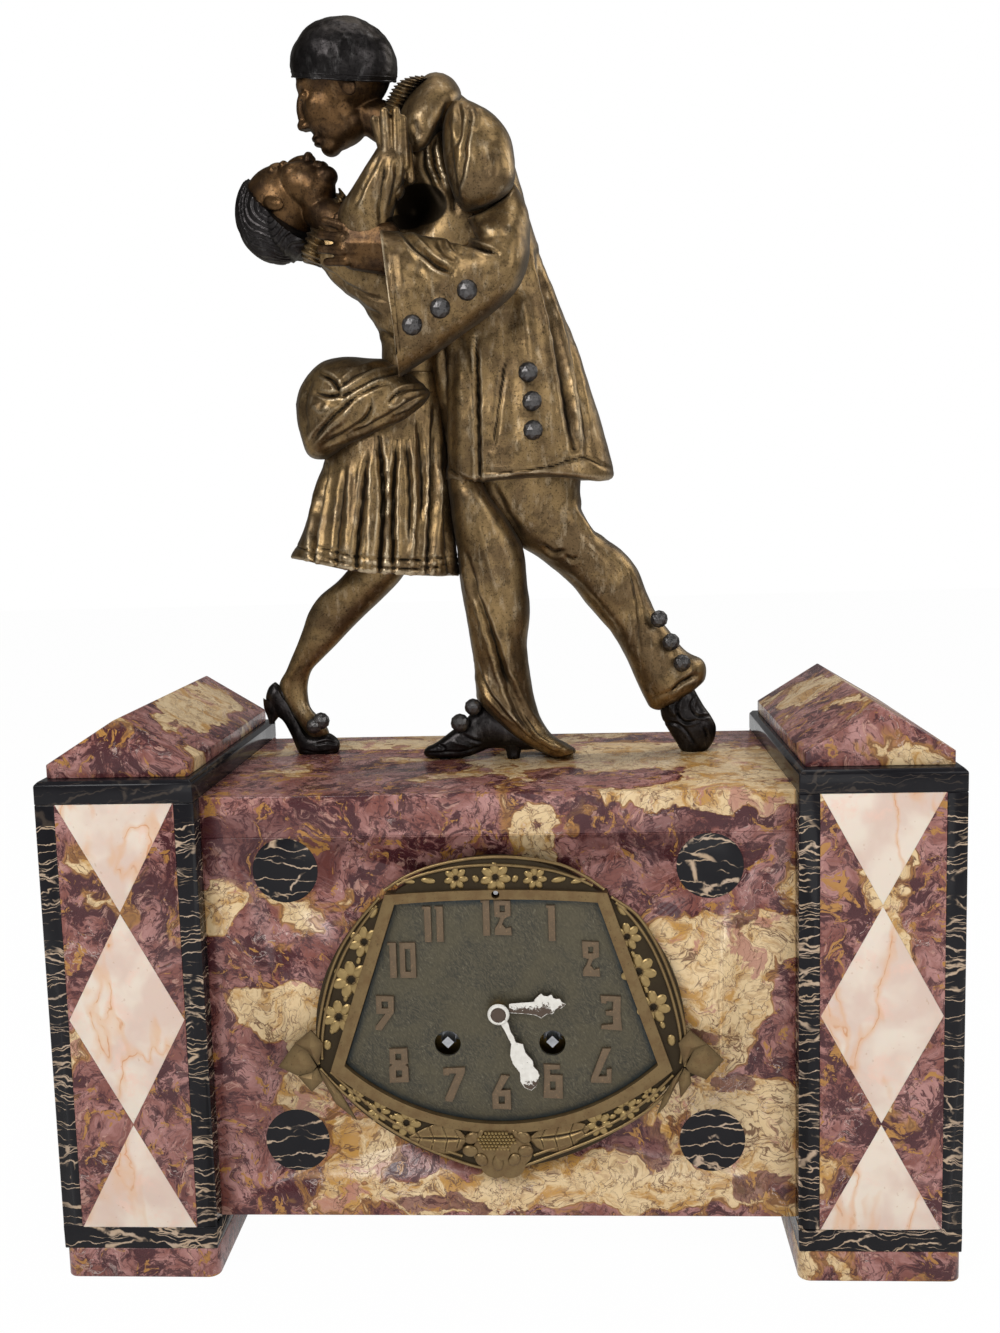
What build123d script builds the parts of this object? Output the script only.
from build123d import *
import math
import os

# Figural mantel clock: a veneered marble case of two gabled pillars and a slab-built block,
# a cast dial surround, an eight-day striking movement and a cast couple in costume on top.
# Frame: +X to the viewer's right, the dial faces -Y, +Z up, origin at the bottom centre.
# All lengths are in millimetres. Names ending in share or shares hold parts of a named size.

# Case
overall_width = 390.0
case_depth = 160.0
pillar_width_share = 68.5 / 390.0
foot_height = 13.5
foot_corner = 5.0
band_height = 10.0
panel_height = 190.0
cap_height = 10.0
cap_bevel = 1.6
strip_width = 8.6
strip_depth = 10.0
inlay_depth = 3.0
inlay_margin = 0.3
gable_eave = 6.0
gable_rise = 19.0
gable_side_inset = 3.5
gable_end_inset = 6.8
block_front_setback = 10.5
block_back_setback = 5.0
slab_thickness = 18.0
disc_radius = 14.2
disc_inset = 35.6
disc_high = 181.0
disc_low = 58.7
cut_over = 1.0

# Dial
dial_height = 119.4
dial_top_half = 43.0
dial_top_rise = 48.1
dial_crown_rise = 49.9
dial_side_half = 67.3
dial_side_drop = 23.4
dial_bottom_drop = 49.7
dial_thickness = 1.6
dial_fit = 0.1
dial_seat_depth = 2.9
dial_ledge = 2.0
corner_out_share = 1.5
corner_down_share = 0.6
band_width = 4.2
surround_thickness = 5.4
band_front = 7.5
crest_rise = 67.8
crest_half = 43.5
crest_base_rise = 52.5
flank_half = 73.0
flank_rise = 20.0
knot_half = 78.0
knot_drop = 25.4
skirt_half = 44.0
skirt_drop = 57.5
skirt_bottom_drop = 71.3
ribbon_tip_half = 94.3
ribbon_half_height = 11.0
ribbon_thickness = 3.2
flower_radius = 13.0
flower_height = 3.0
flower_petals = 6
numeral_height = 15.7
numeral_width = 9.4
numeral_stroke = 2.3
numeral_relief = 1.2
numeral_narrow_share = 0.6
numeral_gap_share = 0.7
key_hole_radius = 5.6
regulator_hole_radius = 1.7
regulator_rise = 52.1

# Hands
minute_hand_length = 36.5
hour_hand_length = 27.5
hand_thickness = 0.8
hand_tail = 4.6
minute_hand_degrees = 156.0
hour_hand_degrees = 84.0
hand_gap = 0.9
collet_radius = 3.4
collet_thickness = 1.1

# Movement plates
plate_radius = 50.0
plate_thickness = 2.0
plate_gap = 40.0
dial_to_plate = 14.4
plate_pillar_radius = 2.6
plate_pillar_circle = 45.0
plate_pillar_degrees = (50.0, 130.0, 248.0, 292.0)
plate_nut_radius = 2.4
plate_nut_height = 1.6
nut_sides = 6
dial_foot_radius = 1.5
dial_foot_spread = 31.0
running_clearance = 0.05
end_shake = 0.3
pivot_radius = 0.7
arbor_radius = 1.1
centre_arbor_radius = 1.5
small_sides = 12

# Gearing: tooth counts and the distances between arbors
great_teeth = 50
centre_leaves = 10
centre_teeth = 48
third_leaves = 6
third_teeth = 45
escape_leaves = 6
escape_teeth = 30
cannon_leaves = 10
minute_wheel_teeth = 30
minute_wheel_leaves = 8
hour_teeth = 32
strike_leaves = 10
strike_teeth = 36
fly_leaves = 6
winding_half_spread = 22.6
winding_drop = 14.6
escape_rise = 24.6
pallet_rise = 14.0
third_distance = 19.8
escape_distance = 15.3
motion_distance = 15.0
strike_bearing = 100.0
fly_distance = 11.8
fly_bearing = 60.0
addendum_share = 0.8
dedendum_share = 1.2
tooth_root_share = 0.52
tooth_tip_share = 0.16
wheel_thickness = 1.6
pinion_length = 3.6
rim_share = 0.8
hub_share = 0.3
spoke_count = 4
spoke_turn_share = 0.3
lifting_pins = 6
lifting_pin_radius = 0.4
lifting_pin_sides = 6

# Barrels and winding
barrel_radius = 21.0
barrel_end_gap = 11.0
great_thickness = 1.8
great_wheel_step = 2.2
barrel_arbor_radius = 3.0
barrel_pivot_radius = 1.6
square_side = 3.8
square_length = 8.0
square_recess = 1.4
ratchet_radius = 6.0
ratchet_teeth = 16
ratchet_thickness = 1.4

# Motion work
cannon_radius = 2.6
hour_pipe_radius = 3.5
minute_stud_radius = 1.2
motion_gap = 1.2

# Escapement, suspension and pendulum
escape_radius = 10.0
escape_root_share = 0.82
escape_rake_share = 0.25
pallet_gap = 1.1
pallet_width = 2.0
pallet_degrees = 50.0
crutch_length = 30.0
crutch_width = 1.6
fork_gap = 0.6
pendulum_plane = 8.0
pendulum_length = 96.0
rod_radius = 1.2
bob_radius = 15.0
bob_thickness = 10.0
bob_profile_shares = ((0.6, 0.8), (1, 0))
rating_nut_radius = 3.0
rating_nut_height = 3.5
spring_thickness = 0.3
spring_width = 4.0
spring_free = 8.0
hook_size = 4.0
cock_width = 13.0
cock_height = 16.0
cock_depth = 9.0
slide_width = 6.0
slide_height = 6.0
slide_travel = 1.5
slide_gap = 0.3
bevel_radius = 2.4
regulator_radius = 1.0

# Strike
bell_x = -28.0
bell_z = 100.0
bell_radius = 26.0
bell_depth = 15.0
bell_wall = 1.5
bell_profile_shares = ((0.55, 0), (0.85, 0.3), (1, 1))
bell_plane = 14.0
bell_post_radius = 2.6
hammer_x = -40.0
hammer_z = 134.0
hammer_arm = 16.5
hammer_head_radius = 3.0
hammer_rest_gap = 0.5
fly_half = 8.0
fly_length = 12.0
fly_thickness = 0.8

# Back of the case and its door
back_hole_radius = 60.0
bezel_bore_radius = 56.0
bezel_flange_radius = 66.0
bezel_flange_thickness = 2.4
door_radius = 60.5
door_thickness = 1.2
door_gap = 0.2
door_vent_radius = 2.6
door_vent_circle = 40.0
door_vent_count = 6
door_knob_radius = 3.0
hinge_offset = 64.6
knuckle_radius = 1.1
hinge_pin_radius = 0.6
knuckle_length = 9.0
knuckle_gap = 0.3
bore_radius = 54.0
strap_circle = 52.0
strap_width = 8.0
strap_thickness = 2.0

# Figures
figure_height = 346.0
figure_setback = 18.0
figure_sides = 14
button_radius = 4.6
button_sides = 8
button_profile_shares = ((1, 1), (0, 1), (-0.7, 0.6))
pompon_radius = 4.2
shoe_width = 15.0
stud_radius = 2.5
stud_hole_clearance = 0.2
stud_length = 27.0
stud_nut_radius = 5.0
stud_nut_height = 4.0

# Worked out from the sizes above
half_width = overall_width / 2
half_depth = case_depth / 2
pillar_width = overall_width * pillar_width_share
pillar_inner = half_width - pillar_width
disc_spread = pillar_inner - disc_inset
panel_bottom = foot_height + band_height
panel_top = panel_bottom + panel_height
cap_top = panel_top + cap_height
block_front = -half_depth + block_front_setback
block_back = half_depth - block_back_setback
dial_back = block_front - dial_seat_depth
dial_front = dial_back - dial_thickness
front_plate_front = dial_back + dial_to_plate
front_plate_back = front_plate_front + plate_thickness
back_plate_front = front_plate_back + plate_gap
back_plate_back = back_plate_front + plate_thickness
centre = (0, dial_height)
going_axis = (winding_half_spread, dial_height - winding_drop)
strike_axis = (-winding_half_spread, dial_height - winding_drop)
escape_axis = (0, dial_height + escape_rise)
pallet_axis = (0, dial_height + escape_rise + pallet_rise)
minute_wheel_axis = (0, dial_height - motion_distance)
hinge_y = block_back + bezel_flange_thickness + door_gap + door_thickness
hinge_place = (hinge_offset, hinge_y)
pendulum_y = back_plate_back + pendulum_plane
channel_top = pallet_axis[1] + cock_height - spring_width / 2


# Helpers for places and flat work seen from the front

def polar(middle, radius, degrees):
    """The point at a radius and a bearing, measured from +X towards +Z."""
    angle = math.radians(degrees)
    return (middle[0] + radius * math.cos(angle), middle[1] + radius * math.sin(angle))


def bearing(start, end):
    """Degrees from one point to another, measured from +X towards +Z."""
    return math.degrees(math.atan2(end[1] - start[1], end[0] - start[0]))


def crossing(first, first_radius, second, second_radius):
    """The crossing of two circles that lies to the right of the line between them."""
    apart = math.dist(first, second)
    along = (first_radius**2 - second_radius**2 + apart**2) / (2 * apart)
    aside = math.sqrt(first_radius**2 - along**2)
    unit_x = (second[0] - first[0]) / apart
    unit_z = (second[1] - first[1]) / apart
    return (first[0] + along * unit_x + aside * unit_z, first[1] + along * unit_z - aside * unit_x)


third_axis = crossing(centre, third_distance, escape_axis, escape_distance)
strike_wheel_axis = polar(strike_axis, math.dist(centre, going_axis), strike_bearing)
fly_axis = polar(strike_wheel_axis, fly_distance, fly_bearing)


def front_view(y, middle=(0, 0), turn=0):
    """A plane facing the viewer at depth y, with its origin at a point of the front view."""
    angle = math.radians(turn)
    along = (math.cos(angle), 0, math.sin(angle))
    return Plane(origin=(middle[0], y, middle[1]), x_dir=along, z_dir=(0, -1, 0))


def plate(sketch, front, back, middle=(0, 0), turn=0):
    """A flat sketch of the front view made into a solid between two depths."""
    return extrude(front_view(back, middle, turn) * sketch, back - front)


def rod(middle, radius, front, back):
    """A round bar along the depth."""
    return plate(Circle(radius), front, back, middle)


def pin(middle, radius, front, back, sides=small_sides):
    """A small bar along the depth, with few sides."""
    return plate(RegularPolygon(radius, sides), front, back, middle)


def pin_hole(middle, radius, front, back):
    """A hole with few sides whose flats clear a turning pin of that radius."""
    return plate(RegularPolygon(radius, small_sides, major_radius=False), front, back, middle)


def upright(place, radius, bottom, top, sides=small_sides):
    """A small bar along the height, at an x and y place."""
    return Pos(place[0], place[1], bottom) * extrude(RegularPolygon(radius, sides), top - bottom)


def box(x, y, z):
    """A box from three pairs of limits."""
    middle = [(pair[0] + pair[1]) / 2 for pair in (x, y, z)]
    return Pos(*middle) * Box(x[1] - x[0], y[1] - y[0], z[1] - z[0])


def main_solid(shape):
    """The largest solid of a cut shape, so that no crumb is left beside it."""
    return max(shape.solids(), key=lambda solid: solid.volume)


def mirrored(shape):
    """The same piece on the other side of the clock."""
    return mirror(shape, about=Plane.YZ)


# Marble case

def pillar_body():
    """Right-hand marble pillar, rebated for its edge strips and its inlaid front."""
    body = box((pillar_inner, half_width), (-half_depth, half_depth), (panel_bottom, panel_top))
    rebate_front = (-half_depth - cut_over, -half_depth + strip_depth)
    height = (panel_bottom - cut_over, panel_top + cut_over)
    body -= box((pillar_inner - cut_over, pillar_inner + strip_width), rebate_front, height)
    body -= box((half_width - strip_width, half_width + cut_over), rebate_front, height)
    for tile in panel_tiles():
        body -= tile
    return body


def pillar_foot():
    """Foot slab with rounded upright corners."""
    foot = box((pillar_inner, half_width), (-half_depth, half_depth), (0, foot_height))
    return fillet(foot.edges().filter_by(Axis.Z), foot_corner)


def pillar_frame():
    """Black lower band and the two upright strips that frame the inlaid front."""
    band = box((pillar_inner, half_width), (-half_depth, half_depth), (foot_height, panel_bottom))
    depth = (-half_depth, -half_depth + strip_depth)
    inner = box((pillar_inner, pillar_inner + strip_width), depth, (panel_bottom, panel_top))
    outer = box((half_width - strip_width, half_width), depth, (panel_bottom, panel_top))
    return Compound([band, inner, outer])


def pillar_cap():
    """Black slab over the panel, with a small bevel round its top edge."""
    cap = box((pillar_inner, half_width), (-half_depth, half_depth), (panel_top, cap_top))
    return chamfer(cap.faces().sort_by(Axis.Z)[-1].edges(), cap_bevel)


def pillar_gable():
    """Roof slab whose ridge runs from front to back."""
    low_x = pillar_inner + gable_side_inset
    high_x = half_width - gable_side_inset
    eave = cap_top + gable_eave
    outline = Polyline(
        (low_x, cap_top), (high_x, cap_top), (high_x, eave),
        ((low_x + high_x) / 2, eave + gable_rise), (low_x, eave), close=True,
    )
    return plate(make_face(outline), -half_depth + gable_end_inset, half_depth - gable_end_inset)


def panel_tiles():
    """Onyx let into the front panel: a lozenge between two triangles that nearly touch its points."""
    left = pillar_inner + strip_width + inlay_margin
    right = half_width - strip_width - inlay_margin
    middle = (left + right) / 2
    waist = panel_bottom + panel_height / 2
    reach = panel_height / 4 - inlay_margin
    onyx = [
        [(left, panel_bottom), (right, panel_bottom), (middle, panel_bottom + reach)],
        [(middle, waist - reach), (right, waist), (middle, waist + reach), (left, waist)],
        [(left, panel_top), (middle, panel_top - reach), (right, panel_top)],
    ]
    depth = (-half_depth, -half_depth + inlay_depth)
    return [plate(make_face(Polyline(*corners, close=True)), *depth) for corners in onyx]


def both_sides(shape):
    """A piece and its mirrored twin, as separate solids of one group."""
    solids = list(shape) if isinstance(shape, list) else list(shape.solids())
    return Compound(solids + [mirrored(solid) for solid in solids])


def disc_places():
    """Middles of the four black discs let into the block."""
    return [(side * disc_spread, height) for side in (-1, 1) for height in (disc_low, disc_high)]


def block_front_slab():
    """Front slab with the movement bore and the recesses of the four discs."""
    slab = box(
        (-pillar_inner, pillar_inner),
        (block_front, block_front + slab_thickness),
        (panel_bottom, panel_top - slab_thickness),
    )
    slab -= rod(centre, bore_radius, block_front - cut_over, block_front + slab_thickness + cut_over)
    for place in disc_places():
        slab -= rod(place, disc_radius, block_front - cut_over, block_front + inlay_depth)
    return slab


def block_top_slab():
    """Top slab that carries the figures, drilled for their studs."""
    height = (panel_top - slab_thickness, panel_top)
    slab = box((-pillar_inner, pillar_inner), (block_front, block_back), height)
    for x, y in stud_places():
        bottom = panel_top - slab_thickness - cut_over
        slab -= upright((x, y), stud_radius + stud_hole_clearance, bottom, panel_top + cut_over)
    return slab


def block_bottom_slab():
    """Floor slab between the front and back slabs."""
    return box(
        (-pillar_inner, pillar_inner),
        (block_front + slab_thickness, block_back - slab_thickness),
        (panel_bottom, panel_bottom + slab_thickness),
    )


def block_back_slab():
    """Back slab with the round opening of the back door."""
    slab = box(
        (-pillar_inner, pillar_inner),
        (block_back - slab_thickness, block_back),
        (panel_bottom, panel_top - slab_thickness),
    )
    return slab - rod(centre, back_hole_radius, block_back - slab_thickness - cut_over, block_back + cut_over)


def disc_inlays():
    """Black discs flush with the block's front."""
    depth = (block_front, block_front + inlay_depth)
    return Compound([rod(place, disc_radius, *depth) for place in disc_places()])


# Dial and its cast surround

def dial_outline(grow=0):
    """Fan-shaped dial, as a flat sketch about the centre of the hands."""
    top_left = (-dial_top_half - grow, dial_top_rise + grow)
    top_right = (dial_top_half + grow, dial_top_rise + grow)
    low = -dial_side_drop - grow * corner_down_share
    low_right = (dial_side_half + grow * corner_out_share, low)
    low_left = (-dial_side_half - grow * corner_out_share, low)
    edges = (
        ThreePointArc(top_left, (0, dial_crown_rise + grow), top_right)
        + Line(top_right, low_right)
        + ThreePointArc(low_right, (0, -dial_bottom_drop - grow), low_left)
        + Line(low_left, top_left)
    )
    return make_face(edges)


def surround_outline():
    """Silhouette of the surround: crest, bulging flanks, knots and the lower swag."""
    edges = ThreePointArc((-crest_half, crest_base_rise), (0, crest_rise), (crest_half, crest_base_rise))
    for side in (1, -1):
        corner = (side * crest_half, crest_base_rise)
        knot = (side * knot_half, -knot_drop)
        edges += ThreePointArc(corner, (side * flank_half, flank_rise), knot)
        edges += ThreePointArc(knot, (side * skirt_half, -skirt_drop), (0, -skirt_bottom_drop))
    return make_face(edges)


def dial_surround():
    """Cast ornament with a raised band round the dial, ribbon ends and the flower below."""
    front = block_front - surround_thickness
    body = plate(surround_outline(), front, block_front, centre)
    body += plate(dial_outline(band_width), block_front - band_front, block_front, centre)
    for side in (-1, 1):
        ribbon = Polyline(
            (side * (knot_half - ribbon_half_height), -knot_drop + ribbon_half_height),
            (side * ribbon_tip_half, -knot_drop),
            (side * (knot_half - ribbon_half_height), -knot_drop - ribbon_half_height),
            close=True,
        )
        body += plate(make_face(ribbon), block_front - ribbon_thickness, block_front, centre)
    flower = (0, dial_height - (dial_bottom_drop + band_width + skirt_bottom_drop) / 2)
    petal_radius = flower_radius / 2
    for petal in range(flower_petals):
        place = polar(flower, petal_radius, petal * 360 / flower_petals)
        body += rod(place, petal_radius, front - flower_height / 2, front)
    body += rod(flower, petal_radius / 2, front - flower_height, front)
    body -= plate(dial_outline(dial_fit), block_front - band_front - cut_over, dial_back, centre)
    body -= plate(dial_outline(-dial_ledge), dial_back - cut_over, block_front + cut_over, centre)
    regulator = (0, dial_height + regulator_rise)
    through = (block_front - band_front - cut_over, block_front + cut_over)
    return body - rod(regulator, regulator_hole_radius, *through)


def dial_plate():
    """Flat dial with its key holes, hand hole and four feet behind."""
    dial = plate(dial_outline(), dial_front, dial_back, centre)
    through = (dial_front - cut_over, dial_back + cut_over)
    for axis in (going_axis, strike_axis):
        dial -= rod(axis, key_hole_radius, *through)
    dial -= rod(centre, hour_pipe_radius + running_clearance, *through)
    for x in (-1, 1):
        for z in (-1, 1):
            foot = (x * dial_foot_spread, dial_height + z * dial_foot_spread)
            dial += pin(foot, dial_foot_radius, dial_back, front_plate_front)
    return dial


# Each numeral is a list of strokes: low x, low z, high x and high z shares of its own box
digit_stroke_shares = {
    "0": [(0, 0, 0.26, 1), (0.74, 0, 1, 1), (0.26, 0, 0.74, 0.15), (0.26, 0.85, 0.74, 1)],
    "1": [(0, 0, 1, 1)],
    "2": [(0, 0.85, 1, 1), (0.74, 0.58, 1, 0.85), (0, 0.43, 1, 0.58), (0, 0.15, 0.26, 0.43), (0, 0, 1, 0.15)],
    "3": [(0.74, 0, 1, 1), (0, 0.85, 0.74, 1), (0.2, 0.43, 0.74, 0.58), (0, 0, 0.74, 0.15)],
    "4": [(0.6, 0, 0.86, 1), (0, 0.28, 0.6, 0.43), (0.86, 0.28, 1, 0.43), (0, 0.43, 0.26, 1)],
    "5": [(0, 0.85, 1, 1), (0, 0.58, 0.26, 0.85), (0, 0.43, 1, 0.58), (0.74, 0.15, 1, 0.43), (0, 0, 1, 0.15)],
    "6": [
        (0, 0, 0.26, 1), (0.26, 0.85, 1, 1), (0.26, 0.43, 0.74, 0.58), (0.74, 0, 1, 0.58),
        (0.26, 0, 0.74, 0.15),
    ],
    "7": [(0, 0.85, 1, 1), (0.6, 0, 0.88, 0.85)],
    "8": [
        (0, 0, 0.26, 1), (0.74, 0, 1, 1), (0.26, 0, 0.74, 0.15), (0.26, 0.43, 0.74, 0.58),
        (0.26, 0.85, 0.74, 1),
    ],
    "9": [
        (0.74, 0, 1, 1), (0, 0.85, 0.74, 1), (0, 0.43, 0.26, 0.85), (0.26, 0.43, 0.74, 0.58),
        (0, 0, 0.74, 0.15),
    ],
}

# Middle of each numeral as shares of the dial's half width, from the centre of the hands
numeral_place_shares = {
    12: (0, 0.617), 1: (0.343, 0.578), 2: (0.59, 0.343), 3: (0.713, -0.013),
    4: (0.642, -0.363), 5: (0.331, -0.467), 6: (0, -0.538), 7: (-0.299, -0.486),
    8: (-0.655, -0.357), 9: (-0.733, -0.006), 10: (-0.609, 0.343), 11: (-0.403, 0.578),
}


def numeral(number):
    """One raised block numeral, its strokes fused, about the middle of its own box."""
    digits = str(number)
    broad = numeral_width if len(digits) == 1 else numeral_width * numeral_narrow_share
    widths = [numeral_stroke if digit == "1" else broad for digit in digits]
    gap = numeral_stroke * numeral_gap_share
    left = -(sum(widths) + gap * (len(digits) - 1)) / 2
    strokes = Sketch()
    for digit, width in zip(digits, widths):
        for low_x, low_z, high_x, high_z in digit_stroke_shares[digit]:
            middle_x = left + width * (low_x + high_x) / 2
            middle_z = numeral_height * ((low_z + high_z) / 2 - 1 / 2)
            stroke = Rectangle(width * (high_x - low_x), numeral_height * (high_z - low_z))
            strokes += Pos(middle_x, middle_z) * stroke
        left += width + gap
    return strokes


def hour_numerals():
    """Twelve raised numerals standing on the dial."""
    solids = []
    for number, (x_share, z_share) in numeral_place_shares.items():
        place = (x_share * dial_side_half, dial_height + z_share * dial_side_half)
        solids += plate(numeral(number), dial_front - numeral_relief, dial_front, place).solids()
    return Compound(solids)


# Hands: half outlines as shares of the hand's length, along it and across it

minute_hand_shares = [
    (0.1, 0.05), (0.3, 0.055), (0.42, 0.1), (0.5, 0.085),
    (0.62, 0.15), (0.7, 0.12), (0.82, 0.15), (0.88, 0.07),
]
hour_hand_shares = [
    (0.12, 0.07), (0.3, 0.08), (0.42, 0.17), (0.52, 0.15),
    (0.62, 0.24), (0.74, 0.2), (0.86, 0.22), (0.9, 0.1),
]


def hand(length, half_shares, degrees, front, bore):
    """A leaf-shaped hand pointing a number of degrees clockwise from the top."""
    right = [(across * length, along * length) for along, across in half_shares]
    left = [(-x, z) for x, z in reversed(right)]
    blade = make_face(Polyline(*right, (0, length), *left, close=True))
    blade += Circle(hand_tail)
    blade -= Circle(bore)
    return plate(blade, front, front + hand_thickness, centre, -degrees)


# Gears

def tooth_ring(teeth, module, lead):
    """A toothed outline: a tooth points along the lead bearing, and tips and roots are flat."""
    pitch_radius = module * teeth / 2
    tip = pitch_radius + addendum_share * module
    root = pitch_radius - dedendum_share * module
    pitch = 360 / teeth
    flanks = [(root, -tooth_root_share), (tip, -tooth_tip_share)]
    flanks += [(tip, tooth_tip_share), (root, tooth_root_share)]
    corners = []
    for tooth in range(teeth):
        middle = lead + tooth * pitch
        for radius, share in flanks:
            corners.append(polar((0, 0), radius, middle + share * pitch / 2))
    return make_face(Polyline(*corners, close=True))


def module_for(distance, teeth, leaves):
    """Tooth module that fills the distance between two arbors."""
    return 2 * distance / (teeth + leaves)


def crossed_out(outline, radius):
    """A flat wheel with four windows cut between its hub and its rim."""
    rim = rim_share * radius
    hub = hub_share * radius
    step = 360 / spoke_count
    for spoke in range(spoke_count):
        start = spoke * step
        near = (start + step * spoke_turn_share, start + step * (1 - spoke_turn_share))
        far = (start + step * spoke_turn_share / 3, start + step * (1 - spoke_turn_share / 3))
        corners = [polar((0, 0), hub, near[0]), polar((0, 0), rim, far[0])]
        corners += [polar((0, 0), rim, start + step / 2)]
        corners += [polar((0, 0), rim, far[1]), polar((0, 0), hub, near[1])]
        outline -= make_face(Polyline(*corners, close=True))
    return outline


def wheel(middle, teeth, module, lead, front, thickness):
    """A crossed-out brass wheel with a rim, spokes and a hub."""
    outline = crossed_out(tooth_ring(teeth, module, lead), module * teeth / 2)
    return plate(outline, front, front + thickness, middle)


def pinion(middle, leaves, module, lead, front, length):
    """A solid pinion cut on its arbor."""
    return plate(tooth_ring(leaves, module, lead), front, front + length, middle)


def gap_lead(driver, driven, leaves):
    """The lead bearing that puts a gap of the driven piece against a tooth of the driver."""
    return bearing(driven, driver) + 180 / leaves


def arbor(middle):
    """A turned arbor between the plates, with a pivot in each."""
    body = pin(middle, arbor_radius, front_plate_back + end_shake, back_plate_front - end_shake)
    return body + pin(middle, pivot_radius, front_plate_front, back_plate_back)


great_module = module_for(math.dist(centre, going_axis), great_teeth, centre_leaves)
train_module = module_for(third_distance, centre_teeth, third_leaves)
third_module = module_for(escape_distance, third_teeth, escape_leaves)
fly_module = module_for(fly_distance, strike_teeth, fly_leaves)
cannon_module = module_for(motion_distance, minute_wheel_teeth, cannon_leaves)
hour_module = module_for(motion_distance, hour_teeth, minute_wheel_leaves)
going_great_front = front_plate_back + end_shake + wheel_thickness
strike_great_front = going_great_front + great_thickness + great_wheel_step
barrel_back = back_plate_front - barrel_end_gap
centre_wheel_front = barrel_back + end_shake + motion_gap
third_wheel_front = centre_wheel_front + wheel_thickness + motion_gap
escape_wheel_front = third_wheel_front + wheel_thickness + motion_gap


def barrel(axis, great_front, lead):
    """Mainspring barrel with its great wheel, bored for the winding arbor."""
    body = rod(axis, barrel_radius, great_front + great_thickness, barrel_back)
    teeth = tooth_ring(great_teeth, great_module, lead)
    body += plate(teeth, great_front, great_front + great_thickness, axis)
    return body - pin_hole(axis, barrel_arbor_radius + running_clearance, front_plate_back, back_plate_front)


def winding_arbor(axis):
    """Barrel arbor with its ratchet in front of the plate and the square for the key."""
    ratchet_back = front_plate_front - end_shake
    ratchet_front = ratchet_back - ratchet_thickness
    square_front = dial_front + square_recess
    body = pin(axis, barrel_arbor_radius, square_front + square_length, back_plate_front - end_shake)
    body += pin(axis, barrel_pivot_radius, back_plate_front - end_shake, back_plate_back)
    body += plate(Rectangle(square_side, square_side), square_front, square_front + square_length, axis, 45)
    teeth = []
    for tooth in range(ratchet_teeth):
        step = 360 / ratchet_teeth
        teeth.append(polar((0, 0), ratchet_radius, tooth * step))
        teeth.append(polar((0, 0), ratchet_radius - square_recess, tooth * step + step / 5))
    return body + plate(make_face(Polyline(*teeth, close=True)), ratchet_front, ratchet_back, axis)


def centre_arbor():
    """Centre arbor: pinion driven by the going barrel, centre wheel, and the end for the hands."""
    body = rod(centre, centre_arbor_radius, dial_front - hand_gap, back_plate_front - end_shake)
    body += pin(centre, pivot_radius, back_plate_front - end_shake, back_plate_back)
    lead = gap_lead(going_axis, centre, centre_leaves)
    front = going_great_front - end_shake
    body += pinion(centre, centre_leaves, great_module, lead, front, great_thickness + 2 * end_shake)
    to_third = bearing(centre, third_axis)
    return body + wheel(centre, centre_teeth, train_module, to_third, centre_wheel_front, wheel_thickness)


def third_wheel():
    """Third wheel and its pinion."""
    body = arbor(third_axis)
    lead = gap_lead(centre, third_axis, third_leaves)
    start = centre_wheel_front - end_shake
    body += pinion(third_axis, third_leaves, train_module, lead, start, third_wheel_front - start)
    to_escape = bearing(third_axis, escape_axis)
    return body + wheel(third_axis, third_teeth, third_module, to_escape, third_wheel_front, wheel_thickness)


def escape_wheel():
    """Escape wheel with raked teeth, and its pinion."""
    body = arbor(escape_axis)
    lead = gap_lead(third_axis, escape_axis, escape_leaves)
    start = third_wheel_front - end_shake
    body += pinion(escape_axis, escape_leaves, third_module, lead, start, escape_wheel_front - start)
    step = 360 / escape_teeth
    root = escape_radius * escape_root_share
    corners = []
    for tooth in range(escape_teeth):
        corners.append(polar((0, 0), escape_radius, tooth * step))
        corners.append(polar((0, 0), root, (tooth + escape_rake_share) * step))
    outline = crossed_out(make_face(Polyline(*corners, close=True)), root)
    return body + plate(outline, escape_wheel_front, escape_wheel_front + wheel_thickness, escape_axis)


def strike_wheel():
    """Strike wheel with the pins that lift the hammer, and its pinion."""
    body = arbor(strike_wheel_axis)
    lead = gap_lead(strike_axis, strike_wheel_axis, strike_leaves)
    front = strike_great_front - end_shake
    length = great_thickness + 2 * end_shake
    body += pinion(strike_wheel_axis, strike_leaves, great_module, lead, front, length)
    to_fly = bearing(strike_wheel_axis, fly_axis)
    body += wheel(strike_wheel_axis, strike_teeth, fly_module, to_fly, centre_wheel_front, wheel_thickness)
    pin_circle = (1 + rim_share) / 2 * fly_module * strike_teeth / 2 - fly_module
    pin_back = third_wheel_front + wheel_thickness
    for turn in range(lifting_pins):
        place = polar(strike_wheel_axis, pin_circle, turn * 360 / lifting_pins)
        body += pin(place, lifting_pin_radius, centre_wheel_front, pin_back, lifting_pin_sides)
    return body


def strike_fly():
    """Air brake of the strike train: two wings on a fast arbor."""
    body = arbor(fly_axis)
    lead = gap_lead(strike_wheel_axis, fly_axis, fly_leaves)
    start = centre_wheel_front - end_shake
    body += pinion(fly_axis, fly_leaves, fly_module, lead, start, pinion_length)
    wing_back = centre_wheel_front - 2 * motion_gap
    wings = Rectangle(2 * fly_half, fly_thickness)
    return body + plate(wings, wing_back - fly_length, wing_back, fly_axis, fly_bearing)


# Motion work under the dial

motion_front = front_plate_front - motion_gap - wheel_thickness
hour_wheel_back = motion_front - motion_gap
hour_wheel_front = hour_wheel_back - wheel_thickness
hour_hand_front = dial_front - numeral_relief - hand_gap - hand_thickness
minute_hand_front = hour_hand_front - hand_gap - hand_thickness
minute_seat_radius = (cannon_radius + centre_arbor_radius) / 2
hour_seat_radius = (hour_pipe_radius + cannon_radius) / 2


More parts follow.
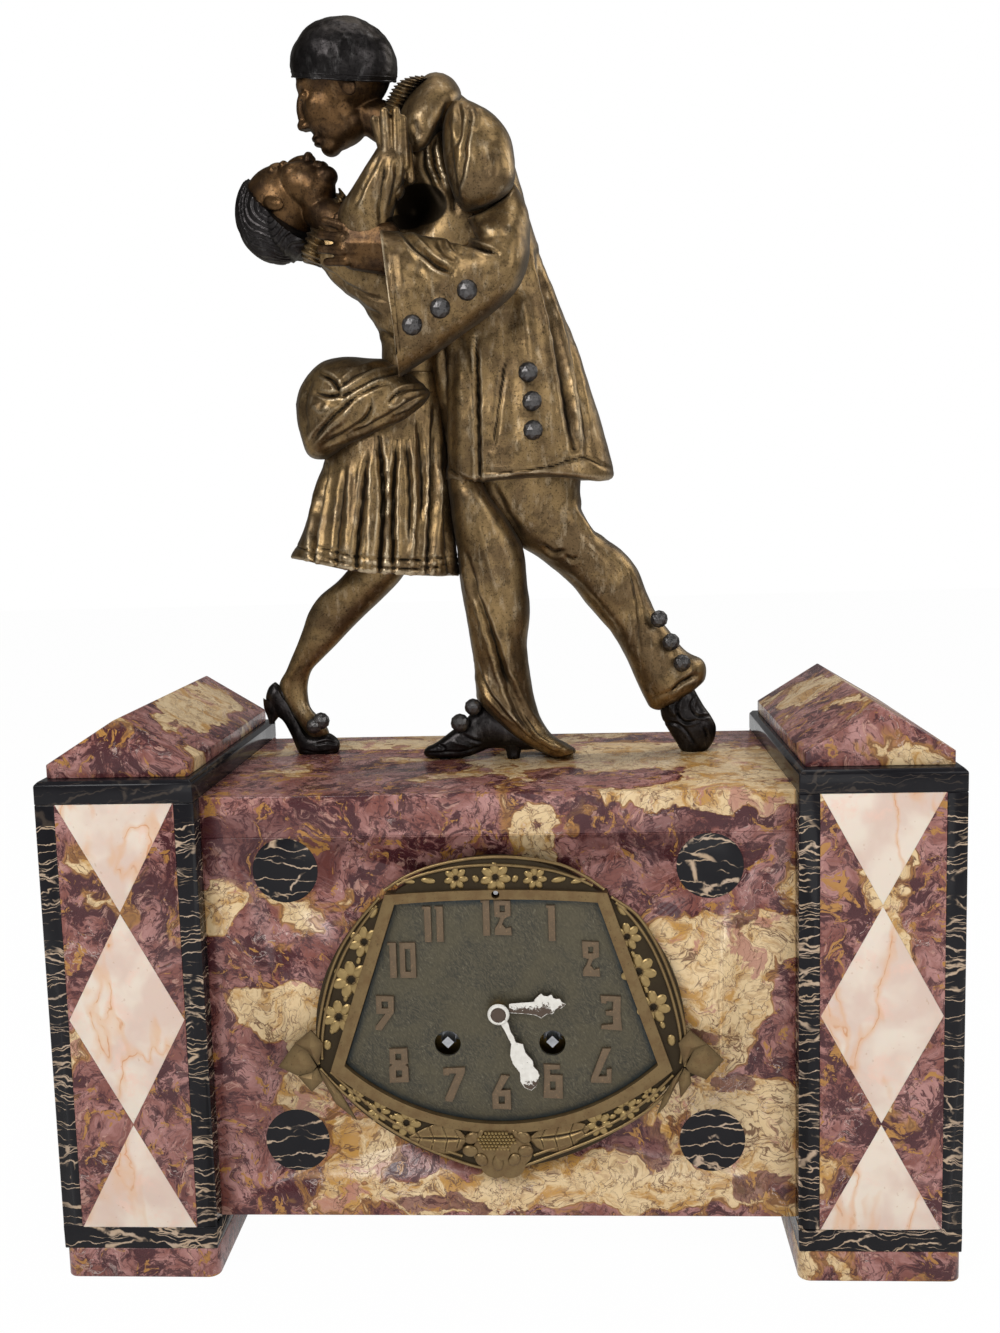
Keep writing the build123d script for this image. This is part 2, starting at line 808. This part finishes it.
def cannon_pinion():
    """Cannon pinion: drives the motion work and carries the minute hand on its long pipe."""
    lead = gap_lead(minute_wheel_axis, centre, cannon_leaves)
    body = pinion(centre, cannon_leaves, cannon_module, lead, motion_front, wheel_thickness)
    body += rod(centre, cannon_radius, minute_hand_front + hand_thickness, motion_front)
    body += rod(centre, minute_seat_radius, minute_hand_front, minute_hand_front + hand_thickness)
    return body - rod(centre, centre_arbor_radius, minute_hand_front - cut_over, front_plate_front)


def minute_wheel():
    """Minute wheel with its pinion, turning on a stud of the front plate."""
    axis = minute_wheel_axis
    to_centre = bearing(axis, centre)
    body = wheel(axis, minute_wheel_teeth, cannon_module, to_centre, motion_front, wheel_thickness)
    front = hour_wheel_front - end_shake
    body += pinion(minute_wheel_axis, minute_wheel_leaves, hour_module, to_centre, front, motion_front - front)
    bore = minute_stud_radius + running_clearance
    return body - pin_hole(minute_wheel_axis, bore, front - cut_over, front_plate_front)


def hour_wheel():
    """Hour wheel and the pipe that carries the hour hand through the dial."""
    lead = gap_lead(minute_wheel_axis, centre, hour_teeth)
    body = wheel(centre, hour_teeth, hour_module, lead, hour_wheel_front, wheel_thickness)
    body += rod(centre, hour_pipe_radius, hour_hand_front + hand_thickness, hour_wheel_back)
    body += rod(centre, hour_seat_radius, hour_hand_front, hour_hand_front + hand_thickness)
    bore = cannon_radius + running_clearance
    return body - rod(centre, bore, hour_hand_front - cut_over, hour_wheel_back + cut_over)


def hour_hand():
    """Short broad hand."""
    return hand(hour_hand_length, hour_hand_shares, hour_hand_degrees, hour_hand_front, hour_seat_radius)


def minute_hand():
    """Long slender hand."""
    shares = minute_hand_shares
    return hand(minute_hand_length, shares, minute_hand_degrees, minute_hand_front, minute_seat_radius)


def hand_collet():
    """Domed collet that holds the minute hand on the centre arbor."""
    front = minute_hand_front - collet_thickness
    collet = rod(centre, collet_radius, front, minute_hand_front)
    return chamfer(collet.edges().sort_by(Axis.Y)[0], collet_thickness / 2)


# Plates and what stands on them

def pivot_places():
    """Arbors that run in plain pivot holes."""
    return [third_axis, escape_axis, strike_wheel_axis, fly_axis, pallet_axis, (hammer_x, hammer_z)]


def front_plate():
    """Front movement plate with its pivot holes and the stud of the minute wheel."""
    limits = (front_plate_front, front_plate_back)
    cut = (front_plate_front - cut_over, front_plate_back + cut_over)
    body = rod(centre, plate_radius, *limits)
    for place in pivot_places():
        body -= pin_hole(place, pivot_radius + running_clearance, *cut)
    body -= pin_hole(centre, centre_arbor_radius + running_clearance, *cut)
    for axis in (going_axis, strike_axis):
        body -= pin_hole(axis, barrel_arbor_radius + running_clearance, *cut)
    stud_front = hour_wheel_front - 2 * end_shake
    return body + pin(minute_wheel_axis, minute_stud_radius, stud_front, front_plate_front)


def back_plate():
    """Back movement plate."""
    limits = (back_plate_front, back_plate_back)
    cut = (back_plate_front - cut_over, back_plate_back + cut_over)
    body = rod(centre, plate_radius, *limits)
    for place in pivot_places() + [centre]:
        body -= pin_hole(place, pivot_radius + running_clearance, *cut)
    for axis in (going_axis, strike_axis):
        body -= pin_hole(axis, barrel_pivot_radius + running_clearance, *cut)
    return body


def plate_pillars():
    """Four turned posts between the plates, with their nuts behind."""
    solids = []
    for degrees in plate_pillar_degrees:
        place = polar(centre, plate_pillar_circle, degrees)
        solids.append(pin(place, plate_pillar_radius, front_plate_back, back_plate_front))
        nut_back = back_plate_back + plate_nut_height
        solids.append(pin(place, plate_nut_radius, back_plate_back, nut_back, nut_sides))
    return Compound(solids)


def pallet_anchor():
    """Anchor over the escape wheel, its arbor, and the crutch behind the back plate."""
    body = arbor(pallet_axis)
    reach = escape_radius + pallet_gap
    front = escape_wheel_front
    back = escape_wheel_front + wheel_thickness
    outline = RegularPolygon(pallet_width, small_sides)
    for side in (-1, 1):
        tip = polar((0, -pallet_rise), reach, 90 - side * pallet_degrees)
        outer = polar((0, -pallet_rise), reach + pallet_width, 90 - side * pallet_degrees)
        shoulder = (side * pallet_width * 2, pallet_width / 2)
        armpit = (side * pallet_width, -pallet_width / 2)
        arm = Polyline((0, pallet_width / 2), shoulder, outer, tip, armpit, (0, -pallet_width / 2), close=True)
        outline += make_face(arm)
    body += plate(outline, front, back, pallet_axis)
    arm_front = back_plate_back + end_shake
    arm_back = arm_front + crutch_width
    body += pin(pallet_axis, pivot_radius, back_plate_back, arm_back)
    fork_z = pallet_axis[1] - crutch_length
    fork_height = (fork_z - crutch_width, fork_z + crutch_width)
    body += box((-crutch_width, crutch_width), (arm_front, arm_back), (fork_z, pallet_axis[1] + crutch_width))
    inner = rod_radius + fork_gap
    outer = inner + crutch_width
    for side in (-1, 1):
        near, far = sorted((side * inner, side * outer))
        body += box((near, far), (arm_front, pendulum_y + rod_radius), fork_height)
    return body + box((-outer, outer), (arm_front, arm_back), fork_height)


def spring_strip(bottom, top):
    """A length of the flat suspension spring."""
    depth = (pendulum_y - spring_width / 2, pendulum_y + spring_width / 2)
    return box((-spring_thickness / 2, spring_thickness / 2), depth, (bottom, top))


def pendulum():
    """Pendulum from its suspension spring down to the rating nut."""
    top = pallet_axis[1]
    hook_top = top - spring_free
    body = spring_strip(hook_top, top - running_clearance)
    hook_half = hook_size / 2
    hook_depth = (pendulum_y - hook_half, pendulum_y + hook_half)
    body += box((-hook_half, hook_half), hook_depth, (hook_top - hook_size, hook_top))
    bob = top - pendulum_length
    nut_top = bob - bob_radius
    nut_bottom = nut_top - rating_nut_height
    body += upright((0, pendulum_y), rod_radius, nut_bottom, hook_top)
    body += upright((0, pendulum_y), rating_nut_radius, nut_bottom, nut_top, nut_sides)
    back_half = [(bob_radius * out, bob_thickness / 2 * deep) for out, deep in bob_profile_shares]
    front_half = [(out, -deep) for out, deep in back_half[-2::-1]]
    lens = Polyline((0, bob_thickness / 2), *back_half, *front_half, (0, -bob_thickness / 2), close=True)
    lens_plane = Plane(origin=(0, pendulum_y, bob), x_dir=(0, 0, 1), z_dir=(1, 0, 0))
    return body + revolve(lens_plane * make_face(lens), Axis((0, pendulum_y, bob), (0, 1, 0)))


def suspension_cock():
    """Bracket on the back plate that holds the top of the suspension spring."""
    front = pendulum_y - cock_depth / 2
    back = pendulum_y + cock_depth / 2
    bottom = pallet_axis[1] + spring_width / 2
    inside = slide_width / 2 + slide_gap
    body = box((-cock_width / 2, cock_width / 2), (front, back), (bottom, bottom + cock_height))
    body -= box((-inside, inside), (front - cut_over, back + cut_over), (bottom - cut_over, channel_top))
    foot_top = dial_height + plate_radius - end_shake
    for side in (-1, 1):
        near, far = sorted((side * inside, side * cock_width / 2))
        body += box((near, far), (back_plate_back, front), (bottom, foot_top))
    return body


def suspension_spring():
    """Upper half of the suspension spring, gripped in the cock."""
    return spring_strip(pallet_axis[1] + running_clearance, channel_top)


def regulator_slide():
    """Slide whose jaws close round the suspension spring and set its working length."""
    bottom = pallet_axis[1] + slide_travel + slide_gap
    top = bottom + slide_height
    half = slide_width / 2
    body = box((-half, half), (pendulum_y - spring_width, pendulum_y + spring_width), (bottom, top))
    slot = spring_thickness / 2 + running_clearance
    slot_half = spring_width / 2 + running_clearance
    slot_depth = (pendulum_y - slot_half, pendulum_y + slot_half)
    return body - box((-slot, slot), slot_depth, (bottom - cut_over, top + cut_over))


def regulator_arbor():
    """Long arbor from the small hole over the numeral twelve back to the suspension."""
    place = (0, dial_height + regulator_rise)
    back = pendulum_y - cock_depth / 2 - end_shake
    body = pin(place, regulator_radius, dial_front, back)
    return body + pin(place, bevel_radius, back - wheel_thickness, back)


def bell():
    """Bell cup, open towards the movement, on its post with the nut behind."""
    back = back_plate_back + bell_plane + bell_depth
    seat = back - bell_wall
    inner_depth = bell_depth - bell_wall
    outer = [(bell_radius * out, back - bell_depth * deep) for out, deep in bell_profile_shares]
    inner = [((bell_radius - bell_wall) * out, seat - inner_depth * deep) for out, deep in bell_profile_shares]
    profile = make_face(Polyline((0, back), *outer, *reversed(inner), (0, seat), close=True))
    cup_plane = Plane(origin=(bell_x, 0, bell_z), x_dir=(1, 0, 0), z_dir=(0, 0, 1))
    cup = revolve(cup_plane * profile, Axis((bell_x, 0, bell_z), (0, 1, 0)))
    post = pin((bell_x, bell_z), bell_post_radius, back_plate_back, seat)
    nut = pin((bell_x, bell_z), bell_post_radius, back, back + 2 * bell_wall, nut_sides)
    return Compound([cup, post, nut])


def hammer():
    """Hammer arbor with its tail between the plates, and the arm and head beside the bell."""
    pivot = (hammer_x, hammer_z)
    body = arbor(pivot)
    front = back_plate_back + bell_plane + bell_wall
    back = front + 2 * hammer_head_radius
    middle = (front + back) / 2
    toward = bearing(pivot, (bell_x, bell_z))
    clear = bell_radius + hammer_rest_gap + hammer_head_radius
    apart = math.dist(pivot, (bell_x, bell_z))
    cosine = (hammer_arm**2 + apart**2 - clear**2) / (2 * hammer_arm * apart)
    head_bearing = toward + math.degrees(math.acos(cosine))
    head = polar(pivot, hammer_arm, head_bearing)
    body += pin(pivot, pivot_radius, back_plate_back, middle)
    arm = Pos(hammer_arm / 2, 0) * Rectangle(hammer_arm, crutch_width)
    arm_depth = (middle - crutch_width / 2, middle + crutch_width / 2)
    body += plate(arm, *arm_depth, pivot, head_bearing)
    body += pin(pivot, arbor_radius, *arm_depth)
    body += pin(head, hammer_head_radius, front, back)
    tail_front = third_wheel_front
    tail = Pos(-arbor_radius - crutch_width, 0) * Rectangle(2 * arbor_radius + crutch_width, crutch_width)
    return body + plate(tail, tail_front, tail_front + wheel_thickness, pivot, head_bearing)


# Fixings through the case and the back door

def case_straps():
    """Two long straps that draw the surround and the back bezel together."""
    solids = []
    for side in (-1, 1):
        middle = side * strap_circle
        across = (middle - strap_thickness / 2, middle + strap_thickness / 2)
        height = (dial_height - strap_width / 2, dial_height + strap_width / 2)
        solids.append(box(across, (block_front, block_back - slab_thickness), height))
    return Compound(solids)


def back_bezel():
    """Ring in the back opening, with the ears of the door hinge and seats for the straps."""
    flange_back = block_back + bezel_flange_thickness
    body = rod(centre, bezel_flange_radius, block_back, flange_back)
    body += rod(centre, back_hole_radius, block_back - slab_thickness, block_back)
    body -= rod(centre, bezel_bore_radius, block_back - slab_thickness - cut_over, flange_back + cut_over)
    for side in (-1, 1):
        seat = box(
            tuple(sorted((side * (strap_circle - strap_thickness), side * (bezel_bore_radius + cut_over)))),
            (block_back - slab_thickness, block_back - slab_thickness + strap_thickness),
            (dial_height - strap_width / 2, dial_height + strap_width / 2),
        )
        body += seat
    for side in (-1, 1):
        low = dial_height + side * (knuckle_length / 2 + knuckle_gap)
        height = tuple(sorted((low, low + side * knuckle_length)))
        across = (hinge_offset - knuckle_radius, hinge_offset + knuckle_radius)
        ear = box(across, (flange_back, hinge_y), height)
        body += ear + upright(hinge_place, knuckle_radius, *height)
    return body - hinge_pin()


def back_door():
    """Round door with sound holes, a knob and its middle knuckle."""
    front = block_back + bezel_flange_thickness + door_gap
    body = rod(centre, door_radius, front, front + door_thickness)
    for vent in range(door_vent_count):
        place = polar(centre, door_vent_circle, (vent + 1 / 2) * 360 / door_vent_count)
        body -= pin_hole(place, door_vent_radius, front - cut_over, front + door_thickness + cut_over)
    height = (dial_height - knuckle_length / 2, dial_height + knuckle_length / 2)
    body += box((door_radius - knuckle_length, hinge_offset), (front, front + door_thickness), height)
    body += upright(hinge_place, knuckle_radius, *height)
    bore = RegularPolygon(hinge_pin_radius + running_clearance, small_sides, major_radius=False)
    bore_height = knuckle_length + 2 * cut_over
    body -= Pos(hinge_offset, hinge_y, height[0] - cut_over) * extrude(bore, bore_height)
    knob = (-door_radius + 2 * door_knob_radius, dial_height)
    return body + pin(knob, door_knob_radius / 2, front + door_thickness, half_depth)


def hinge_pin():
    """Pin of the back door's hinge."""
    half = knuckle_length * 3 / 2 + knuckle_gap
    return upright(hinge_place, hinge_pin_radius, dial_height - half, dial_height + half)


# Figures: stations are x, z and y of the middle, half width and half depth, all as shares of
# the figures' height. x runs from the clock's middle, z from the block's top and y from the
# figures' own plane.

coat_shares = [
    (-0.074, 0.895, 0, 0.041, 0.045), (-0.062, 0.858, 0, 0.078, 0.07), (-0.067, 0.804, 0, 0.106, 0.082),
    (-0.05, 0.743, 0, 0.106, 0.082), (-0.025, 0.662, 0, 0.1, 0.077), (0.004, 0.581, 0, 0.098, 0.077),
    (0.03, 0.486, 0, 0.104, 0.083), (0.041, 0.412, 0, 0.113, 0.09), (0.043, 0.372, 0, 0.115, 0.092),
]
front_trouser_shares = [
    (-0.022, 0.372, -0.02, 0.05, 0.055), (-0.017, 0.299, -0.02, 0.046, 0.058),
    (-0.006, 0.218, -0.022, 0.044, 0.055), (-0.004, 0.151, -0.022, 0.038, 0.05),
    (0.006, 0.084, -0.022, 0.04, 0.052), (0.035, 0.036, -0.022, 0.034, 0.05),
    (0.062, 0.004, -0.022, 0.026, 0.045),
]
rear_trouser_shares = [
    (0.05, 0.385, 0.02, 0.06, 0.06), (0.103, 0.292, 0.02, 0.05, 0.056), (0.148, 0.232, 0.02, 0.042, 0.05),
    (0.174, 0.195, 0.02, 0.037, 0.045), (0.195, 0.157, 0.018, 0.034, 0.043),
    (0.224, 0.115, 0.016, 0.042, 0.048), (0.241, 0.092, 0.015, 0.045, 0.05),
]
skirt_shares = [
    (-0.159, 0.43, 0.01, 0.065, 0.06), (-0.161, 0.39, 0.01, 0.082, 0.072),
    (-0.163, 0.351, 0.01, 0.094, 0.084),
    (-0.166, 0.31, 0.01, 0.106, 0.094), (-0.17, 0.262, 0.01, 0.114, 0.1),
]
bodice_shares = [
    (-0.222, 0.72, 0.005, 0.036, 0.036), (-0.178, 0.684, 0.005, 0.052, 0.056),
    (-0.137, 0.63, 0.005, 0.052, 0.058),
    (-0.122, 0.564, 0.005, 0.04, 0.048), (-0.135, 0.5, 0.01, 0.055, 0.055), (-0.157, 0.43, 0.01, 0.066, 0.06),
]
leg_shares = [
    (-0.172, 0.27, 0.03, 0.042, 0.04), (-0.205, 0.229, 0.03, 0.037, 0.036),
    (-0.232, 0.2, 0.032, 0.034, 0.034),
    (-0.254, 0.172, 0.034, 0.028, 0.03), (-0.272, 0.143, 0.036, 0.021, 0.023),
    (-0.282, 0.112, 0.038, 0.016, 0.017),
    (-0.283, 0.075, 0.04, 0.016, 0.018),
]
far_leg_shares = [
    (-0.14, 0.27, -0.005, 0.04, 0.04), (-0.128, 0.21, 0.04, 0.034, 0.034),
    (-0.118, 0.15, 0.055, 0.027, 0.027),
    (-0.1, 0.09, 0.07, 0.018, 0.018), (-0.09, 0.055, 0.075, 0.014, 0.015),
]
sleeve_shares = [
    (-0.03, 0.878, -0.04, 0.03, 0.03), (-0.004, 0.835, -0.065, 0.05, 0.045),
    (0.002, 0.77, -0.08, 0.054, 0.05),
    (0.003, 0.71, -0.088, 0.053, 0.05), (-0.01, 0.662, -0.09, 0.056, 0.05),
    (-0.05, 0.64, -0.092, 0.068, 0.05),
    (-0.095, 0.63, -0.092, 0.085, 0.052), (-0.14, 0.619, -0.09, 0.098, 0.056),
]
man_hand_shares = [
    (-0.14, 0.7, -0.085, 0.024, 0.018), (-0.165, 0.7, -0.09, 0.028, 0.02),
    (-0.19, 0.698, -0.092, 0.03, 0.018),
    (-0.212, 0.7, -0.088, 0.028, 0.014), (-0.229, 0.703, -0.082, 0.022, 0.01),
]
woman_arm_shares = [
    (-0.09, 0.745, -0.092, 0.02, 0.02), (-0.102, 0.775, -0.098, 0.018, 0.018),
    (-0.112, 0.805, -0.1, 0.016, 0.015),
    (-0.122, 0.828, -0.1, 0.022, 0.014), (-0.134, 0.852, -0.094, 0.022, 0.012),
    (-0.14, 0.875, -0.086, 0.014, 0.009),
]
bow_shares = [
    (-0.272, 0.44, 0, 0.03, 0.05), (-0.262, 0.468, 0, 0.055, 0.085), (-0.227, 0.478, 0, 0.07, 0.1),
    (-0.183, 0.485, 0, 0.066, 0.105), (-0.13, 0.502, 0, 0.05, 0.095), (-0.094, 0.518, 0, 0.03, 0.07),
]
collar_shares = [
    (-0.128, 0.87, 0, 0.046, 0.06), (-0.112, 0.892, 0, 0.052, 0.07), (-0.09, 0.898, 0, 0.05, 0.075),
    (-0.065, 0.893, 0, 0.042, 0.072), (-0.045, 0.88, 0, 0.028, 0.06),
]
ruff_shares = [
    (-0.152, 0.888, 0, 0.045, 0.052), (-0.139, 0.884, 0, 0.05, 0.058), (-0.124, 0.876, 0, 0.047, 0.056),
]
woman_ruff_shares = [
    (-0.243, 0.735, 0.005, 0.042, 0.046), (-0.231, 0.728, 0.005, 0.047, 0.052),
    (-0.219, 0.72, 0.005, 0.044, 0.048),
]

# Heads: middle x, z and y, then half width and half length, and the lean to the left in degrees
man_head_middle_shares = (-0.196, 0.902, 0)
man_head_half_shares = (0.062, 0.09)
man_head_tilt = -5.0
man_cap_middle_shares = (-0.194, 0.93, 0)
man_cap_half_shares = (0.069, 0.069)
man_cap_tilt = -3.0
woman_head_middle_shares = (-0.283, 0.758, 0.005)
woman_head_half_shares = (0.064, 0.076)
woman_head_tilt = 52.0
head_level_shares = (-0.96, -0.75, -0.4, 0, 0.4, 0.75, 0.96)
cap_level_shares = (0, 0.35, 0.65, 0.87, 0.99)

# Shoes: outline points x and z as shares of the figures' height, then the middle's y share
near_shoe_shares = [
    (-0.308, 0.118), (-0.33, 0.088), (-0.332, 0.066), (-0.322, 0.064), (-0.308, 0.075), (-0.29, 0.036),
    (-0.283, 0), (-0.238, 0), (-0.226, 0.014), (-0.235, 0.03), (-0.258, 0.048), (-0.278, 0.085),
]
near_shoe_y_share = 0.04
man_front_shoe_shares = [
    (-0.045, 0.085), (-0.078, 0.052), (-0.106, 0.024), (-0.116, 0.008),
    (-0.11, 0), (-0.052, 0), (-0.02, 0.016),
    (-0.012, 0), (0.012, 0), (0.018, 0.05), (-0.01, 0.085),
]
man_front_shoe_y_share = -0.02
man_rear_shoe_shares = [
    (0.212, 0.075), (0.222, 0.045), (0.243, 0.018), (0.252, 0),
    (0.272, 0), (0.29, 0.034), (0.278, 0.058), (0.25, 0.08),
]
man_rear_shoe_y_share = 0.01
far_shoe_shares = [
    (-0.076, 0.07), (-0.107, 0.065), (-0.13, 0.02), (-0.146, 0.006), (-0.144, 0), (-0.1, 0), (-0.082, 0.018),
    (-0.078, 0), (-0.068, 0),
]
far_shoe_y_share = 0.078

# Buttons: x, z and y shares of their middles
button_shares = [
    (0.046, 0.523, -0.086), (0.05, 0.484, -0.088), (0.05, 0.445, -0.092),
    (-0.111, 0.591, -0.146), (-0.072, 0.611, -0.142), (-0.034, 0.636, -0.138),
    (0.215, 0.182, -0.022), (0.231, 0.152, -0.026), (0.246, 0.124, -0.03),
]
pompon_shares = [
    (-0.248, 0.066, 0.014), (-0.264, 0.056, 0.012), (-0.064, 0.062, -0.046), (-0.046, 0.08, -0.05),
]
stud_shares = [(-0.262, 0.04), (-0.082, -0.02), (0.262, 0.01)]


def figure_point(x_share, z_share, y_share):
    """A point of the figures from its three shares."""
    x = x_share * figure_height
    y = figure_setback + y_share * figure_height
    return (x, y, panel_top + z_share * figure_height)


def stud_places():
    """Where the studs of the three standing shoes go through the top slab."""
    return [(x * figure_height, figure_setback + y * figure_height) for x, y in stud_shares]


def oval(wide, deep, sides=figure_sides):
    """A many-sided oval section."""
    angles = [turn * math.tau / sides for turn in range(sides)]
    corners = [(wide * math.cos(angle), deep * math.sin(angle)) for angle in angles]
    return make_face(Polyline(*corners, close=True))


def swept_form(stations, level=False):
    """A loft through ovals that stand square to the line of their middles, or lie level."""
    middles = [figure_point(x, z, y) for x, z, y, wide, deep in stations]
    sections = []
    for place, (x, z, y, wide, deep) in enumerate(stations):
        before = middles[max(place - 1, 0)]
        after = middles[min(place + 1, len(middles) - 1)]
        run_x, run_z = after[0] - before[0], after[2] - before[2]
        if level:
            run_x, run_z = 0, math.copysign(1, run_z)
        length = math.hypot(run_x, run_z)
        along = (run_x / length, 0, run_z / length)
        across = (along[2], 0, -along[0])
        plane = Plane(origin=middles[place], x_dir=across, z_dir=along)
        sections.append(plane * oval(wide * figure_height, deep * figure_height))
    return loft(sections, ruled=True)


def egg(middle_shares, half_shares, tilt, level_shares):
    """An egg of many-sided sections along its axis, which leans to the left by a tilt."""
    wide = half_shares[0] * figure_height
    tall = half_shares[1] * figure_height
    sections = []
    for level in level_shares:
        radius = wide * math.sqrt(1 - level**2)
        sections.append(Pos(0, 0, level * tall) * oval(radius, radius))
    return Pos(*figure_point(*middle_shares)) * Rot(0, -tilt, 0) * loft(sections, ruled=True)


def shoe(outline_shares, y_share):
    """A shoe as its side outline, carried across its width."""
    corners = [(x * figure_height, panel_top + z * figure_height) for x, z in outline_shares]
    middle = figure_setback + y_share * figure_height
    return plate(make_face(Polyline(*corners, close=True)), middle - shoe_width / 2, middle + shoe_width / 2)


def stud_button(shares, radius):
    """A faceted button or pompon that faces the viewer."""
    x, y, z = figure_point(*shares)
    sections = []
    for depth_share, size_share in button_profile_shares:
        outline = RegularPolygon(size_share * radius, button_sides)
        sections.append(front_view(y + depth_share * radius, (x, z)) * outline)
    return loft(sections, ruled=True)


def figures():
    """The couple and their clothes, the smaller pieces cut to the larger ones they meet."""
    coat = swept_form(coat_shares, level=True)
    skirt = main_solid(swept_form(skirt_shares, level=True) - coat)
    front_trouser = main_solid(swept_form(front_trouser_shares, level=True) - coat - skirt)
    rear_trouser = main_solid(swept_form(rear_trouser_shares) - coat - front_trouser)
    sleeve = main_solid(swept_form(sleeve_shares) - coat)
    bodice = main_solid(swept_form(bodice_shares) - coat - sleeve - skirt)
    bow = main_solid(swept_form(bow_shares) - coat - sleeve - skirt - bodice)
    collar = main_solid(swept_form(collar_shares) - coat - sleeve)
    man_ruff = main_solid(swept_form(ruff_shares) - coat - collar)
    woman_ruff = main_solid(swept_form(woman_ruff_shares) - bodice - coat)
    dome = egg(man_cap_middle_shares, man_cap_half_shares, man_cap_tilt, cap_level_shares)
    man_cap = main_solid(dome - collar - man_ruff)
    man_head = egg(man_head_middle_shares, man_head_half_shares, man_head_tilt, head_level_shares)
    man_head = main_solid(man_head - dome - coat - collar - man_ruff)
    woman_head = egg(woman_head_middle_shares, woman_head_half_shares, woman_head_tilt, head_level_shares)
    woman_head = main_solid(woman_head - woman_ruff - bodice - coat - man_head)
    man_hand = main_solid(swept_form(man_hand_shares) - sleeve - bodice - woman_ruff - coat)
    woman_arm = swept_form(woman_arm_shares) - sleeve - coat - collar - man_ruff - man_hand - bodice
    woman_arm = main_solid(woman_arm)
    leg = main_solid(swept_form(leg_shares) - skirt)
    far_leg = main_solid(swept_form(far_leg_shares) - skirt - front_trouser - leg)
    shoes = []
    woman_shoes = (shoe(near_shoe_shares, near_shoe_y_share), shoe(far_shoe_shares, far_shoe_y_share))
    shoes.append(main_solid(woman_shoes[0] - leg))
    shoes.append(main_solid(woman_shoes[1] - far_leg - front_trouser))
    shoes.append(main_solid(shoe(man_front_shoe_shares, man_front_shoe_y_share) - front_trouser))
    shoes.append(main_solid(shoe(man_rear_shoe_shares, man_rear_shoe_y_share) - rear_trouser))
    carriers = [coat, sleeve, rear_trouser] + shoes
    buttons = [stud_button(shares, button_radius) for shares in button_shares]
    buttons += [stud_button(shares, pompon_radius) for shares in pompon_shares]
    for carrier in carriers:
        buttons = [main_solid(button - carrier) for button in buttons]
    return {
        "man_head": Compound([man_head, man_cap]), "man_collar": Compound([collar, man_ruff]),
        "man_coat": coat, "man_sleeve": sleeve, "man_hand": man_hand,
        "man_front_trouser": front_trouser, "man_rear_trouser": rear_trouser,
        "woman_head": woman_head, "woman_bodice": Compound([bodice, woman_ruff]), "woman_arm": woman_arm,
        "woman_skirt": Compound([skirt, bow]), "woman_legs": Compound([leg, far_leg]),
        "shoes": Compound(shoes), "buttons_and_pompons": Compound(buttons),
    }


def figure_studs():
    """Studs under three shoes, each with its nut below the top slab."""
    nut_top = panel_top - slab_thickness
    solids = []
    for place in stud_places():
        stud = upright(place, stud_radius, panel_top - stud_length, panel_top)
        solids.append(stud + upright(place, stud_nut_radius, nut_top - stud_nut_height, nut_top, nut_sides))
    return Compound(solids)


def all_pieces():
    """Every node of the clock by name."""
    pieces = {"right_pillar": pillar_body(), "left_pillar": mirrored(pillar_body())}
    paired = {"feet": pillar_foot, "frames": pillar_frame, "caps": pillar_cap, "gables": pillar_gable}
    for name, make in paired.items():
        pieces["pillar_" + name] = both_sides(make())
    pieces["onyx_inlays"] = both_sides(panel_tiles())
    pieces.update(figures())
    single = (
        block_front_slab, block_top_slab, block_bottom_slab, block_back_slab, disc_inlays,
        dial_surround, dial_plate, hour_numerals, hour_hand, minute_hand, hand_collet,
        front_plate, back_plate, plate_pillars, centre_arbor, cannon_pinion, minute_wheel, hour_wheel,
        third_wheel, escape_wheel, strike_wheel, strike_fly, pallet_anchor, pendulum,
        suspension_cock, suspension_spring, regulator_slide, regulator_arbor, bell, hammer,
        case_straps, back_bezel, back_door, hinge_pin, figure_studs,
    )
    for make in single:
        pieces[make.__name__] = make()
    to_centre = bearing(going_axis, centre)
    pieces["going_barrel"] = barrel(going_axis, going_great_front, to_centre)
    pieces["strike_barrel"] = barrel(strike_axis, strike_great_front, bearing(strike_axis, strike_wheel_axis))
    pieces["going_winding_arbor"] = winding_arbor(going_axis)
    pieces["strike_winding_arbor"] = winding_arbor(strike_axis)
    return pieces


if __name__ == "__main__":
    os.makedirs("parts", exist_ok=True)
    for name, piece in all_pieces().items():
        export_step(piece, "parts/" + name + ".step")
        print(name)
